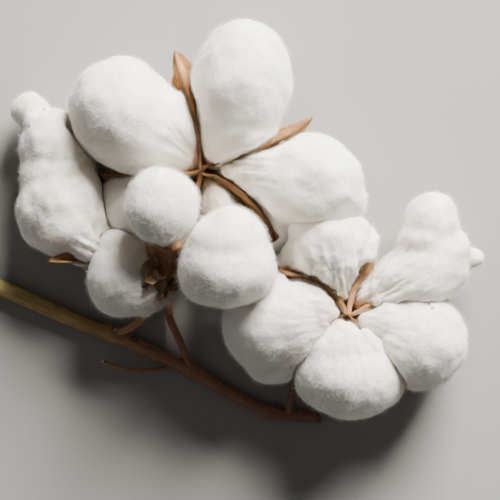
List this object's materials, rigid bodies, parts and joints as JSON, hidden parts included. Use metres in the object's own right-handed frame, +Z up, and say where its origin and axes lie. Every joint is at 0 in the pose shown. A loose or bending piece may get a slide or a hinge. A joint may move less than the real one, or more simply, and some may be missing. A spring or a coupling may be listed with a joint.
{
  "type": "cut cotton branch with open bolls",
  "caption": "Leafless cut branch of a cotton plant with open white bolls, lying on its back. Dried pointed burrs hold swollen locks of lint on thin woody stalks.",
  "frame": {"origin": "on the plane that the branch lies on, under the middle of its outer box", "axes": "+X along the branch from its cut end to its tip, +Y across it towards the bolls, +Z up, the way that the bolls' mouths face"},
  "size_m": [0.1762, 0.1394, 0.0536],
  "materials": {
    "lint": "soft matte fibre, warm white",
    "burr": "dry matt brown with tan edges",
    "bract": "dry papery brown",
    "bark": "satin reddish brown bark, olive at the cut end"
  },
  "bodies": {
    "root": {"branch": "bark", "twig_a": "bark", "stalk_b": "bark", "stalk_c": "bark", "spur": "bark", "burr_a": "burr", "burr_b": "burr", "burr_c": "burr", "calyx_a": "bract", "calyx_b": "bract", "calyx_c": "bract", "lock_c_top": "lint", "lock_c_right": "lint", "lock_a_right": "lint", "lock_a_left": "lint", "lock_a_up": "lint", "lock_b_low": "lint", "lock_b_low_right": "lint", "lock_b_low_left": "lint", "lock_b_up_right": "lint", "lock_b_up": "lint", "lock_a_low": "lint", "lock_a_low_left": "lint", "lock_c_low_left": "lint", "lock_c_left": "lint"}
  },
  "joints": []
}
